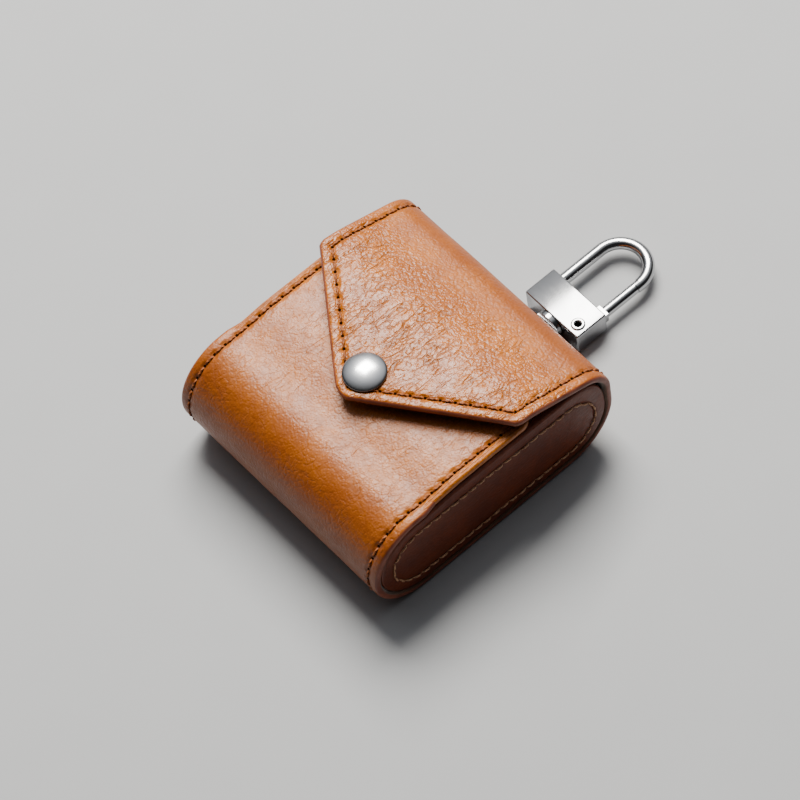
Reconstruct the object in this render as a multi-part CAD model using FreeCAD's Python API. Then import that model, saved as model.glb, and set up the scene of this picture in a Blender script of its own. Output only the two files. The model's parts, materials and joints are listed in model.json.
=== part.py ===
import FreeCAD, Part
import math
import os
from FreeCAD import Vector

# Earbud-case cover: a leather strip wrapped round two stadium-shaped side panels, closed by a snap flap,
# with a swivel snap hook on a strap behind its top end. It lies on its back: z = 0 is the back's outer
# face, +Z points to the front, +Y to the top end with the hook, +X to the right-hand side panel.
# Millimetres throughout.

# ---- shell ----
case_width = 59.0            # along X, over the wrap's cut edges
case_length = 62.0           # along Y, over both rounded ends
case_depth = 24.2            # along Z, back face to front face
leather = 1.1                # outer leather of wrap and flap
lining = 0.6                 # inner lining of wrap and flap
glue_film = 0.03             # between leather and lining
front_step = 14.0            # bottom end to where the sewn sides end and the loose front panel begins
front_step_in = 0.9          # how much narrower the loose front panel is, each side
front_rise_angle = 10.0      # the loose front panel rises over the contents
front_rise_radius = 16.0
front_rise_run = 2.0
front_top = 19.0             # top end to the front panel's free edge, under the flap
front_corner_radius = 3.0

# ---- side panels ----
side_leather = 1.2
side_board = 0.8
side_lining = 0.6
side_clearance = 0.1         # panel edge to the wrap's lining
side_edge_round = 0.4
flange_width = 4.0           # side lining's turned flange, glued inside the wrap

# ---- flap ----
hinge_gap = 0.1              # between the wrap's and the flap's end faces at the fold
crown_ease = 1.5             # the flap's bend over the top end is this much larger than the end's
crown_turn = 72.0
slope_run = 8.0              # straight rise from the bend to the front's crest
crest_radius = 28.0
flap_corner = 38.7           # bottom end to where the flap's straight sides end
flap_tip = 17.0              # bottom end to where its two slanted edges would meet
flap_corner_radius = 1.5
flap_tip_radius = 4.0

# ---- seams ----
wrap_seam_inset = 2.5
flap_seam_inset = 2.6
side_seam_inset = 3.0
thread_width = 0.6
thread_depth = 0.25

# ---- snap ----
snap_place = 25.1            # bottom end to the snap's axis
cap_radius = 4.5
cap_height = 1.9
cap_side = 0.5
cap_edge_round = 0.25
barrel_radius = 1.3
barrel_bore = 0.9
hole_clearance = 0.05        # round every barrel and rivet in leather
socket_flange_radius = 4.0
socket_flange = 0.35
socket_radius = 3.4
socket_mouth_radius = 2.15
socket_floor_gap = 0.17      # socket's rim to the stud's flange
stud_flange_radius = 3.4
stud_flange = 0.3
stud_radius = 1.6
stud_height = 1.1
stud_round = 0.5
stud_rivet_radius = 1.0
stud_rivet_flange = 0.4

# ---- strap behind the top end ----
clip_x = 3.8                 # the hook lies this far off the centre line
clip_z = 3.3                 # height of the hook's axis above the table
strap_width = 8.0
strap_thickness = 0.8
strap_gap = 0.1              # strap to shell
strap_drop = 1.2             # strap's upper end below the fold
strap_bend_radius = 3.0
strap_bend_angle = 35.0
tab_rivet_drop = 2.8         # strap's rivet below the fold
tab_rivet_radius = 0.75
tab_rivet_head_radius = 1.4
tab_rivet_head = 0.5
tab_rivet_washer_radius = 1.1
tab_rivet_washer = 0.4

# ---- swivel eye ----
eye_rod_radius = 0.8
eye_running_gap = 0.1        # eye rod inside the strap's fold
eye_side_gap = 0.25          # eye's arms to the strap's edges
eye_reach = 2.9              # between the eye's two cross rods
eye_corner_radius = 1.2
collar_radius = 3.1
collar_thickness = 0.9
collar_overlap = 0.4
post_radius = 1.3
post_clearance = 0.05
post_head_radius = 1.9
post_head = 0.7
post_head_clearance = 0.1    # post's head inside the block
swivel_gap = 0.2             # collar to block

# ---- block ----
block_cheek = 2.0            # block past the centre lines of hook leg and gate
block_length = 7.8
block_thickness = 5.6
block_round = 0.35
block_base = 0.8
block_front = 1.1
block_side = 0.5
cavity_reach = 2.7           # cavity past the swivel axis, away from the gate

# ---- hook and gate ----
hook_rod_radius = 1.3
hook_span = 11.6             # between the centre lines of hook leg and gate
hook_leg_in_block = 4.8
hook_leg = 10.6              # block face to where the bow starts to curve
lap_length = 0.9             # half-lap between the gate's tip and the hook's nose
lap_gap_y = 0.15
lap_gap_x = 0.05
gate_rod_radius = 1.15
gate_eye_radius = 1.4
gate_eye_thickness = 1.9
gate_neck_width = 2.0
gate_neck_thickness = 2.6
gate_collar_size = 2.6
gate_collar_length = 0.75
gate_collar_gap = 0.35       # gate's collar to the block
gate_slot_gap = 0.15
gate_swing_room = 3.1        # slot length that the gate needs inwards
pivot_inset = 0.3            # pivot from the gate's centre line
pivot_offset_y = 2.3         # pivot from the block's base face
rivet_radius = 0.95
rivet_bore = 0.65
rivet_clearance = 0.05
rivet_head_radius = 1.5
rivet_head = 0.3
spring_wire_radius = 0.18
spring_coil_radius = 1.2
spring_leg = 2.6

# ---- derived places ----
half_width = case_width / 2
half_depth = case_depth / 2              # outer radius of both ends
end_centre_y = case_length / 2 - half_depth
hinge_y = case_length / 2
bottom_y = -hinge_y
front_step_y = bottom_y + front_step
front_top_y = hinge_y - front_top
flap_corner_y = bottom_y + flap_corner
flap_tip_y = bottom_y + flap_tip
snap_y = bottom_y + snap_place
crown_radius = half_depth + crown_ease
wall = leather + glue_film + lining
side_radius = half_depth - wall - side_clearance
strap_inner_y = hinge_y + strap_gap
strap_top_z = half_depth - strap_drop
tab_rivet_z = half_depth - tab_rivet_drop
fold_radius = eye_rod_radius + eye_running_gap
eye_bar_y = strap_inner_y + strap_thickness + fold_radius
eye_far_y = eye_bar_y + eye_reach
collar_y = eye_far_y + collar_overlap
block_y = collar_y + collar_thickness + swivel_gap
block_face_y = block_y + block_length
hook_x = clip_x - hook_span / 2
gate_x = clip_x + hook_span / 2
block_width = hook_span + 2 * block_cheek
bow_y = block_face_y + hook_leg
gate_tip_y = bow_y - lap_gap_y
nose_end_y = gate_tip_y - lap_length
gate_shoulder_y = nose_end_y - lap_gap_y
pivot_x = gate_x - pivot_inset
pivot_y = block_y + pivot_offset_y

X_AXIS = Vector(1, 0, 0)
Y_AXIS = Vector(0, 1, 0)
Z_AXIS = Vector(0, 0, 1)


def save(name, shape):
    shape.exportStep("parts/" + name + ".step")


def box(x0, x1, y0, y1, z0, z1):
    return Part.makeBox(x1 - x0, y1 - y0, z1 - z0, Vector(x0, y0, z0))


def left_of(heading):
    return Vector(0, -math.sin(math.radians(heading)), math.cos(math.radians(heading)))


def ahead(heading):
    return Vector(0, math.cos(math.radians(heading)), math.sin(math.radians(heading)))


def strip_edges(start, heading, moves, offset):
    """Edges of a path in the YZ plane, set over to its left. A move is (length, 0) or (radius, turn)."""
    edges = []
    at = start
    for size, turn in moves:
        if turn == 0:
            end = at + ahead(heading) * size
            shift = left_of(heading) * offset
            edges.append(Part.LineSegment(at + shift, end + shift).toShape())
            at = end
            continue
        hand = math.copysign(1, turn)
        centre = at + left_of(heading) * size * hand
        reach = offset - size * hand
        points = [centre + left_of(heading + turn * share) * reach for share in (0, 0.5, 1)]
        edges.append(Part.Arc(*points).toShape())
        heading += turn
        at = centre - left_of(heading) * size * hand
    return edges


def strip(path, near, far, x0, x1):
    """Solid between two offsets of a path, from x0 to x1."""
    inner = strip_edges(*path, near)
    outer = strip_edges(*path, far)
    ends = []
    for index, side in ((0, 0), (-1, -1)):
        a = inner[index].Vertexes[side].Point
        b = outer[index].Vertexes[side].Point
        ends.append(Part.LineSegment(a, b).toShape())
    wire = Part.Wire(Part.__sortEdges__(inner + outer + ends))
    solid = Part.Face(wire).extrude(X_AXIS * (x1 - x0))
    solid.translate(X_AXIS * x0)
    return solid


def rounded_prism(corners, z0, z1):
    """Prism over an outline of (x, y, corner radius) points."""
    edges = []
    ends = []
    count = len(corners)
    for index, (x, y, radius) in enumerate(corners):
        here = Vector(x, y, z0)
        previous = corners[index - 1]
        following = corners[(index + 1) % count]
        before = (Vector(previous[0], previous[1], z0) - here).normalize()
        after = (Vector(following[0], following[1], z0) - here).normalize()
        if radius == 0:
            ends.append((here, here))
            continue
        half = before.getAngle(after) / 2
        run = radius / math.tan(half)
        bisector = (before + after).normalize()
        middle = here + bisector * (radius / math.sin(half) - radius)
        edges.append(Part.Arc(here + before * run, middle, here + after * run).toShape())
        ends.append((here + before * run, here + after * run))
    for index in range(count):
        start = ends[index][1]
        stop = ends[(index + 1) % count][0]
        edges.append(Part.LineSegment(start, stop).toShape())
    return Part.Face(Part.Wire(Part.__sortEdges__(edges))).extrude(Z_AXIS * (z1 - z0))


def stadium(radius, x0, x1):
    """Stadium plate across X, concentric with the shell's two rounded ends."""
    plate = box(x0, x1, -end_centre_y, end_centre_y, half_depth - radius, half_depth + radius)
    for y in (-end_centre_y, end_centre_y):
        plate = plate.fuse(Part.makeCylinder(radius, x1 - x0, Vector(x0, y, half_depth), X_AXIS))
    return plate.removeSplitter()


def disc_at(x, y, z0, z1, radius):
    return Part.makeCylinder(radius, z1 - z0, Vector(x, y, z0), Z_AXIS)


def rod(start, stop, radius):
    return Part.makeCylinder(radius, (stop - start).Length, start, stop - start)


def bend(start, centre, turn, radius):
    """Round rod bent about Z from start, through turn degrees."""
    tangent = Z_AXIS.cross(start - centre)
    section = Part.Face(Part.Wire(Part.Circle(start, tangent, radius).toShape()))
    return section.revolve(centre, Z_AXIS, turn)


def mirrored(shape):
    return shape.mirror(Vector(0, 0, 0), X_AXIS)


# ---- paths of the wrap and the flap, outer face, in the YZ plane ----
rise_length = 2 * front_rise_radius * math.sin(math.radians(front_rise_angle))
rise_length += front_rise_run * math.cos(math.radians(front_rise_angle))
rise_height = 2 * front_rise_radius * (1 - math.cos(math.radians(front_rise_angle)))
rise_height += front_rise_run * math.sin(math.radians(front_rise_angle))
front_flat_z = case_depth + rise_height
wrap_path = (Vector(0, hinge_y, half_depth), -90, [
    (half_depth, -90),
    (2 * end_centre_y, 0),
    (half_depth, -180),
    (front_step_y + end_centre_y, 0),
    (front_rise_radius, front_rise_angle),
    (front_rise_run, 0),
    (front_rise_radius, -front_rise_angle),
    (front_top_y - front_step_y - rise_length, 0),
])

crest_turn = 90 - crown_turn
slope = math.radians(crest_turn)
crown_end_y = hinge_y - crown_radius * (1 - math.cos(math.radians(crown_turn)))
crown_end_z = half_depth + hinge_gap + crown_radius * math.sin(math.radians(crown_turn))
crest_end_y = crown_end_y - slope_run * math.cos(slope) - crest_radius * math.sin(slope)
flap_flat_z = crown_end_z + slope_run * math.sin(slope) + crest_radius * (1 - math.cos(slope))
flap_path = (Vector(0, hinge_y, half_depth + hinge_gap), 90, [
    (crown_radius, crown_turn),
    (slope_run, 0),
    (crest_radius, crest_turn),
    (crest_end_y - flap_tip_y, 0),
])


def flap_outline(inset):
    """The envelope-shaped outline, set in from the cut edge, as a prism through the flap."""
    half = half_width - inset
    lean = math.atan2(half_width, flap_corner_y - flap_tip_y)
    tip = flap_tip_y + inset / math.sin(lean)
    corner = tip + half / math.tan(lean)
    top = hinge_y + leather
    sharp = max(flap_corner_radius - inset, thread_width)
    blunt = max(flap_tip_radius - inset, thread_width)
    corners = [
        (-half, top, 0),
        (-half, corner, sharp),
        (0, tip, blunt),
        (half, corner, sharp),
        (half, top, 0),
    ]
    return rounded_prism(corners, half_depth, flap_flat_z + leather)


def make_wrap():
    x = half_width
    outer = strip(wrap_path, 0, -leather, -x, x)
    inner = strip(wrap_path, -leather - glue_film, -wall, -x, x)
    sides = []
    for hand in (-1, 1):
        a = hand * (x - front_step_in)
        b = hand * (x + 1)
        sides.append(box(min(a, b), max(a, b), front_step_y, front_top_y + 1, half_depth, case_depth + wall))
    low = case_depth - wall
    high = front_flat_z + 1
    front = rounded_prism([
        (-x + front_step_in, front_step_y, 0),
        (x - front_step_in, front_step_y, 0),
        (x - front_step_in, front_top_y, front_corner_radius),
        (-x + front_step_in, front_top_y, front_corner_radius),
    ], low, high)
    sides.append(box(-x, x, front_top_y - front_corner_radius, front_top_y + 1, low, high).cut(front))
    tab_axis = Vector(clip_x, end_centre_y, tab_rivet_z)
    holes = [
        disc_at(0, snap_y, half_depth, front_flat_z + 1, stud_rivet_radius + hole_clearance),
        Part.makeCylinder(tab_rivet_radius + hole_clearance, half_depth, tab_axis, Y_AXIS),
    ]
    seam_x = x - wrap_seam_inset
    thread = strip(wrap_path, 0, -thread_depth, seam_x - thread_width / 2, seam_x + thread_width / 2)
    for cutter in sides:
        outer = outer.cut(cutter)
        inner = inner.cut(cutter)
        thread = thread.cut(cutter)
    for hole in holes:
        outer = outer.cut(hole)
        inner = inner.cut(hole)
    outer = outer.cut(thread).cut(mirrored(thread))
    save("wrap_leather", outer)
    save("wrap_lining", inner)
    save("wrap_thread_right", thread)
    save("wrap_thread_left", mirrored(thread))


def make_sides():
    face_x = half_width
    board_x = face_x - side_leather
    lining_x = board_x - side_board
    inner_x = lining_x - side_lining
    panel = stadium(side_radius, board_x, face_x)
    rim = [edge for edge in panel.Edges if edge.BoundBox.XMin > face_x - 0.01]
    panel = panel.makeFillet(side_edge_round, rim)
    seam_radius = side_radius - side_seam_inset
    thread = stadium(seam_radius + thread_width / 2, face_x - thread_depth, face_x)
    thread = thread.cut(stadium(seam_radius - thread_width / 2, face_x - thread_depth, face_x))
    panel = panel.cut(thread)
    board = stadium(side_radius, lining_x, board_x)
    plate = stadium(side_radius, inner_x, lining_x)
    flange = stadium(side_radius, inner_x - flange_width, inner_x)
    flange = flange.cut(stadium(side_radius - side_lining, inner_x - flange_width, inner_x))
    flange = flange.cut(box(0, face_x, front_step_y, hinge_y, half_depth, case_depth))
    inside = plate.fuse(flange).removeSplitter()
    for name, shape in (("leather", panel), ("board", board), ("lining", inside), ("thread", thread)):
        save("side_" + name + "_right", shape)
        save("side_" + name + "_left", mirrored(shape))


def make_flap():
    x = half_width
    cap_top = flap_flat_z + cap_height
    outline = flap_outline(0)
    outer = strip(flap_path, 0, leather, -x, x).common(outline)
    inner = strip(flap_path, leather + glue_film, wall, -x, x).common(outline)
    seam = flap_outline(flap_seam_inset - thread_width / 2)
    seam = seam.cut(flap_outline(flap_seam_inset + thread_width / 2))
    thread = strip(flap_path, 0, thread_depth, -x, x).common(seam)
    hole = disc_at(0, snap_y, front_flat_z, cap_top, barrel_radius + hole_clearance)
    save("flap_leather", outer.cut(thread).cut(hole))
    save("flap_lining", inner.cut(hole))
    save("flap_thread", thread)


def make_snap():
    flap_inner_z = flap_flat_z - wall
    socket_z = flap_inner_z - socket_flange
    stud_z = front_flat_z + stud_flange
    rim_z = stud_z + socket_floor_gap
    dome_height = cap_height - cap_side
    dome_radius = (cap_radius ** 2 + dome_height ** 2) / (2 * dome_height)
    dome = Part.makeSphere(dome_radius, Vector(0, snap_y, flap_flat_z + cap_height - dome_radius))
    cap = disc_at(0, snap_y, flap_flat_z, flap_flat_z + cap_height, cap_radius).common(dome)
    rim = [edge for edge in cap.Edges if abs(edge.BoundBox.ZMin - flap_flat_z - cap_side) < 0.01]
    cap = cap.makeFillet(cap_edge_round, [edge for edge in rim if edge.BoundBox.ZLength < 0.01])
    barrel = disc_at(0, snap_y, socket_z, flap_flat_z, barrel_radius)
    cap = cap.fuse(barrel).cut(disc_at(0, snap_y, socket_z, flap_flat_z, barrel_bore))
    socket = disc_at(0, snap_y, socket_z, flap_inner_z, socket_flange_radius)
    socket = socket.fuse(disc_at(0, snap_y, rim_z, socket_z, socket_radius))
    socket = socket.cut(disc_at(0, snap_y, rim_z, socket_z, socket_mouth_radius))
    socket = socket.cut(disc_at(0, snap_y, socket_z, flap_inner_z, barrel_radius))
    save("snap_cap", cap.removeSplitter())
    save("snap_socket", socket.removeSplitter())

    bulb = disc_at(0, snap_y, front_flat_z, stud_z + stud_height, stud_radius)
    top = [edge for edge in bulb.Edges if edge.BoundBox.ZMin > stud_z + stud_height - 0.01]
    bulb = bulb.makeFillet(stud_round, top)
    stud = bulb.fuse(disc_at(0, snap_y, front_flat_z, stud_z, stud_flange_radius))
    bore_top = stud_z + stud_height - stud_round
    stud = stud.cut(disc_at(0, snap_y, front_flat_z, bore_top, stud_rivet_radius))
    inner_z = front_flat_z - wall
    rivet = disc_at(0, snap_y, inner_z, bore_top, stud_rivet_radius)
    rivet = rivet.fuse(disc_at(0, snap_y, inner_z - stud_rivet_flange, inner_z, stud_flange_radius))
    save("snap_stud", stud.removeSplitter())
    save("stud_rivet", rivet.removeSplitter())


def make_strap():
    middle = strap_thickness / 2
    fold = fold_radius + middle
    back_run = 2 * fold - strap_thickness - glue_film
    bend_run = 2 * strap_bend_radius * (1 - math.cos(math.radians(strap_bend_angle)))
    slant = (back_run - bend_run) / math.sin(math.radians(strap_bend_angle))
    climb = 2 * strap_bend_radius * math.sin(math.radians(strap_bend_angle))
    climb += slant * math.cos(math.radians(strap_bend_angle))
    path = (Vector(0, strap_inner_y + middle, strap_top_z), -90, [
        (strap_top_z - clip_z, 0),
        (fold, 180),
        (strap_bend_radius, strap_bend_angle),
        (slant, 0),
        (strap_bend_radius, -strap_bend_angle),
        (strap_top_z - clip_z - climb, 0),
    ])
    strap = strip(path, -middle, middle, clip_x - strap_width / 2, clip_x + strap_width / 2)
    head_y = strap_inner_y + 2 * strap_thickness + glue_film
    inner_radius = half_depth - wall
    drop = half_depth - tab_rivet_z + tab_rivet_washer_radius
    washer_y = end_centre_y + math.sqrt(inner_radius ** 2 - drop ** 2) - tab_rivet_washer
    axis = Vector(clip_x, washer_y, tab_rivet_z)
    shank = Part.makeCylinder(tab_rivet_radius, head_y - washer_y, axis, Y_AXIS)
    hole = Part.makeCylinder(tab_rivet_radius + hole_clearance, head_y - washer_y, axis, Y_AXIS)
    head_at = Vector(clip_x, head_y, tab_rivet_z)
    head = Part.makeCylinder(tab_rivet_head_radius, tab_rivet_head, head_at, Y_AXIS)
    washer = Part.makeCylinder(tab_rivet_washer_radius, tab_rivet_washer, axis, Y_AXIS)
    save("hook_tab", strap.cut(hole))
    save("tab_rivet", shank.fuse(head).fuse(washer).removeSplitter())


def make_eye():
    half = strap_width / 2 + eye_side_gap + eye_rod_radius
    turn = eye_corner_radius
    near = eye_bar_y
    far = eye_far_y
    left = clip_x - half
    right = clip_x + half
    z = clip_z
    eye = rod(Vector(left + turn, near, z), Vector(right - turn, near, z), eye_rod_radius)
    runs = [
        (Vector(right, near + turn, z), Vector(right, far - turn, z)),
        (Vector(right - turn, far, z), Vector(left + turn, far, z)),
        (Vector(left, far - turn, z), Vector(left, near + turn, z)),
    ]
    corners = [
        (Vector(right - turn, near, z), Vector(right - turn, near + turn, z)),
        (Vector(right, far - turn, z), Vector(right - turn, far - turn, z)),
        (Vector(left + turn, far, z), Vector(left + turn, far - turn, z)),
        (Vector(left, near + turn, z), Vector(left + turn, near + turn, z)),
    ]
    for start, stop in runs:
        eye = eye.fuse(rod(start, stop, eye_rod_radius))
    for start, centre in corners:
        eye = eye.fuse(bend(start, centre, 90, eye_rod_radius))
    collar = Part.makeCylinder(collar_radius, collar_thickness, Vector(clip_x, collar_y, z), Y_AXIS)
    bore = Part.makeCylinder(post_radius, collar_thickness, Vector(clip_x, collar_y, z), Y_AXIS)
    save("swivel_eye", eye.fuse(collar).cut(bore).removeSplitter())
    head_y = block_y + block_base + post_clearance
    tail_y = eye_far_y + eye_rod_radius
    post = Part.makeCylinder(post_radius, head_y - tail_y, Vector(clip_x, tail_y, z), Y_AXIS)
    head = Part.makeCylinder(post_head_radius, post_head, Vector(clip_x, head_y, z), Y_AXIS)
    save("swivel_post", post.fuse(head).removeSplitter())


def hook_shape():
    base = Vector(hook_x, block_face_y - hook_leg_in_block, clip_z)
    top = Vector(hook_x, bow_y, clip_z)
    bow = rod(base, top, hook_rod_radius)
    nose = Vector(gate_x, bow_y, clip_z)
    centre = Vector(clip_x, bow_y, clip_z)
    bow = bow.fuse(bend(nose, centre, 180, hook_rod_radius))
    nose_end = Vector(gate_x, nose_end_y, clip_z)
    lip = rod(nose_end, nose, hook_rod_radius)
    inner = gate_x + lap_gap_x
    low = clip_z - hook_rod_radius
    outer_half = box(inner, inner + hook_rod_radius, nose_end_y, bow_y, low, low + 2 * hook_rod_radius)
    lip = lip.common(outer_half)
    return bow.fuse(lip).removeSplitter()


def make_block():
    z0 = clip_z - block_thickness / 2
    left = clip_x - block_width / 2
    block = box(left, left + block_width, block_y, block_face_y, z0, z0 + block_thickness)
    block = block.makeFillet(block_round, block.Edges)
    cavity_height = 2 * (post_head_radius + post_head_clearance)
    low = clip_z - cavity_height / 2
    inner_right = left + block_width - block_side
    inner_y = block_face_y - block_front
    base_y = block_y + block_base
    cavity = box(clip_x - cavity_reach, inner_right, base_y, inner_y, low, low + cavity_height)
    slot_z = gate_collar_size / 2 + gate_slot_gap
    slot_left = gate_x - gate_collar_size / 2 - gate_swing_room
    slot_right = gate_x + gate_collar_size / 2 + gate_slot_gap
    slot = box(slot_left, slot_right, inner_y, block_face_y, clip_z - slot_z, clip_z + slot_z)
    swivel_at = Vector(clip_x, block_y, clip_z)
    swivel = Part.makeCylinder(post_radius + post_clearance, block_base, swivel_at, Y_AXIS)
    pivot = disc_at(pivot_x, pivot_y, z0, z0 + block_thickness, rivet_radius)
    hook = hook_shape()
    for cutter in (cavity, slot, swivel, pivot, hook):
        block = block.cut(cutter)
    save("clip_block", block)
    save("hook_bow", hook)

    rivet = disc_at(pivot_x, pivot_y, z0, z0 + block_thickness, rivet_radius)
    for z in (z0 - rivet_head, z0 + block_thickness):
        rivet = rivet.fuse(disc_at(pivot_x, pivot_y, z, z + rivet_head, rivet_head_radius))
    rivet = rivet.removeSplitter()
    bore = disc_at(pivot_x, pivot_y, z0 - rivet_head, z0 + block_thickness + rivet_head, rivet_bore)
    save("gate_rivet", rivet.cut(bore))


def make_gate():
    z = clip_z
    bore = rivet_radius + rivet_clearance
    eye = gate_eye_thickness / 2
    neck = gate_neck_thickness / 2
    neck_y = pivot_y + gate_eye_radius + spring_wire_radius
    collar_near = block_face_y + gate_collar_gap
    collar_far = collar_near + gate_collar_length
    half = gate_collar_size / 2
    gate = disc_at(pivot_x, pivot_y, z - eye, z + eye, gate_eye_radius)
    left = gate_x - gate_neck_width / 2
    right = gate_x + gate_neck_width / 2
    eye_left = pivot_x - gate_neck_width / 2
    gate = gate.fuse(box(eye_left, eye_left + gate_neck_width, pivot_y, neck_y, z - eye, z + eye))
    gate = gate.fuse(box(left, right, neck_y, collar_near, z - neck, z + neck))
    gate = gate.fuse(box(gate_x - half, gate_x + half, collar_near, collar_far, z - half, z + half))
    shoulder = Vector(gate_x, gate_shoulder_y, z)
    gate = gate.fuse(rod(Vector(gate_x, collar_far, z), shoulder, gate_rod_radius))
    lap = rod(shoulder, Vector(gate_x, gate_tip_y, z), gate_rod_radius)
    inner_half = box(gate_x - half, gate_x - lap_gap_x, gate_shoulder_y, gate_tip_y, z - half, z + half)
    lap = lap.common(inner_half)
    gate = gate.fuse(lap).cut(disc_at(pivot_x, pivot_y, z - neck, z + neck, bore))
    save("gate", gate.removeSplitter())


def make_spring():
    z = clip_z + gate_eye_thickness / 2 + 2 * spring_wire_radius
    wire = spring_wire_radius
    centre = Vector(pivot_x, pivot_y, z)
    coil = bend(centre + X_AXIS * spring_coil_radius, centre, 359.9, wire)
    gate_side = centre - X_AXIS * spring_coil_radius
    base_side = centre - Y_AXIS * spring_coil_radius
    spring = coil.fuse(rod(gate_side, gate_side + Y_AXIS * spring_leg, wire))
    spring = spring.fuse(rod(base_side, base_side - X_AXIS * spring_leg, wire))
    save("gate_spring", spring.removeSplitter())


os.makedirs("parts", exist_ok=True)
make_wrap()
make_sides()
make_flap()
make_snap()
make_strap()
make_eye()
make_block()
make_gate()
make_spring()
print("front panel at", round(front_flat_z, 2), "flap at", round(flap_flat_z, 2))
print("eye bar", round(eye_bar_y, 2), "block", round(block_y, 2), "to", round(block_face_y, 2))
print("bow", round(bow_y, 2), "pivot", round(pivot_x, 2), round(pivot_y, 2))
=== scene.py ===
# %% [markdown]
# # A leather cover for an earbud case
#
# The real object is a small cognac leather case: one strip of lined leather is bent round two
# stadium-shaped side panels, its end folds over the top as a pointed flap, a metal snap closes it, and a
# swivel hook hangs behind it. The imported CAD model gives every size and every moving body. This lesson
# builds the looks round it, so each new piece is put where its CAD node is, and most ride on the same body.

# %% Load the frame
import json
import math
import random

import bmesh
import bpy
from mathutils import Matrix, Vector


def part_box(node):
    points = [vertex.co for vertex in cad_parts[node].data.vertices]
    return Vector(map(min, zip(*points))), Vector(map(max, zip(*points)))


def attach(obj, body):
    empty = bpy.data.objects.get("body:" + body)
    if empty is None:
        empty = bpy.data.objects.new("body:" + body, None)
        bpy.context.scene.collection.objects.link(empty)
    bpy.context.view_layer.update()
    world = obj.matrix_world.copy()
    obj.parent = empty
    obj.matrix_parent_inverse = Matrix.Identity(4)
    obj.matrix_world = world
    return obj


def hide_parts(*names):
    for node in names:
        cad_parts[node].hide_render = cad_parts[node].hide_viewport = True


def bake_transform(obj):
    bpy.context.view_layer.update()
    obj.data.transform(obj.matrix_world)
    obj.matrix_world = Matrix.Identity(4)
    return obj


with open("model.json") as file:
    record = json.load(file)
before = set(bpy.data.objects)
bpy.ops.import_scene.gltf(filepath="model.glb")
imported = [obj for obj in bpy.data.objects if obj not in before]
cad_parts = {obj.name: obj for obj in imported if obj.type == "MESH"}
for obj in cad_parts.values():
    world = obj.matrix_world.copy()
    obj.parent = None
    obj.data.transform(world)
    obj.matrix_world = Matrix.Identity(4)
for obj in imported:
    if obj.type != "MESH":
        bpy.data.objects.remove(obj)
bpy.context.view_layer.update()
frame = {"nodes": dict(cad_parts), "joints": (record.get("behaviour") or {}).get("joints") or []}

# %% [markdown]
# ## Working habits
#
# Operators act on whatever is selected, so every step starts by selecting one piece. Faces, edges and
# points are picked in code by their place or normal. Modifiers are applied at once, so that each piece
# ends as a plain mesh whose place is in its points.

# %% Helpers for selecting
mm = 0.001
tiny = 0.01 * mm


def take(*pieces):
    """Selects only these pieces, in object mode."""
    if bpy.context.object and bpy.context.object.mode == "EDIT":
        bpy.ops.object.mode_set(mode="OBJECT")
    bpy.ops.object.select_all(action="DESELECT")
    for piece in pieces:
        piece.select_set(True)
    bpy.context.view_layer.objects.active = pieces[0] if pieces else None


def edit(piece):
    take(piece)
    bpy.ops.object.mode_set(mode="EDIT")
    bpy.ops.mesh.select_all(action="SELECT")


def pick(piece, kind, test):
    """In edit mode, selects only the VERT, EDGE or FACE parts that test is true for."""
    bpy.ops.mesh.select_mode(type=kind)
    bpy.ops.mesh.select_all(action="DESELECT")
    mesh = bmesh.from_edit_mesh(piece.data)
    for part in {"VERT": mesh.verts, "EDGE": mesh.edges, "FACE": mesh.faces}[kind]:
        if test(part):
            part.select_set(True)
    bmesh.update_edit_mesh(piece.data)


print("selecting helpers ready")

# %% Helpers for shaping


def finish_with(piece, kind, **settings):
    """Adds a modifier and applies it."""
    take(piece)
    modifier = piece.modifiers.new(kind.title(), kind)
    for key, value in settings.items():
        setattr(modifier, key, value)
    bpy.ops.object.modifier_apply(modifier=modifier.name)


def round_off(piece, width, segments, angle):
    """Bevels the edges sharper than angle."""
    limit = {"limit_method": "ANGLE", "angle_limit": math.radians(angle)}
    finish_with(piece, "BEVEL", width=width, segments=segments, **limit)


def settle(piece, name):
    """Names a piece and puts its place into its points."""
    take(piece)
    piece.name = name
    piece.data.name = name
    bpy.ops.object.transform_apply(location=True, rotation=True, scale=True)
    return piece


def smooth(piece, angle):
    take(piece)
    bpy.ops.object.shade_smooth_by_angle(angle=math.radians(angle))


def is_rim(edge):
    """True for the sharp outline edges of a flat plate that lies in XY."""
    flat = sorted(abs(face.normal.z) > 0.5 for face in edge.link_faces)
    return flat == [False, True]


def score(place, normal, clear=False):
    """In edit mode, cuts every face along a plane; clear removes what lies in front of it."""
    bpy.ops.mesh.select_all(action="SELECT")
    bpy.ops.mesh.bisect(plane_co=place, plane_no=normal, clear_outer=clear)


print("shaping helpers ready")

# %% [markdown]
# ## Sizes
#
# The frame gives the boxes of the CAD nodes. Only what a box can't say is named here: the wall's
# thickness, the slow rise of the loose front panel, and the bends of the flap: a tight crown over the
# top end, a straight slope, a wide crest, and a tip that noses down to the snap.

# %% Sizes from the frame
shell_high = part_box("wrap_leather")[1]
panel_low, panel_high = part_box("side_leather_right")
half_width = shell_high.x
top_y = shell_high.y
end_radius = (panel_low.z + panel_high.z) / 2
end_y = top_y - end_radius
wall = 1.73 * mm
front_edge_y = 12 * mm
step_y = -17 * mm
step_in = 0.6 * mm
rise_radius = 30 * mm
rise_angle = 7
rise_run = 3.14 * mm
crown_radius = 8 * mm
crown_rise = 4.2 * mm
crown_turn = 72
slope_run = 12.1 * mm
crest_radius = 28 * mm
flap_corner_y = 7.7 * mm
flap_tip_y = -13.3 * mm
nose_y = -9.8 * mm
nose_radius = 12 * mm
seam_inset = 2.55 * mm
stitch_pitch = 3.0 * mm
print("half width", round(half_width / mm, 2), "end radius", round(end_radius / mm, 2), "mm")

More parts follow.
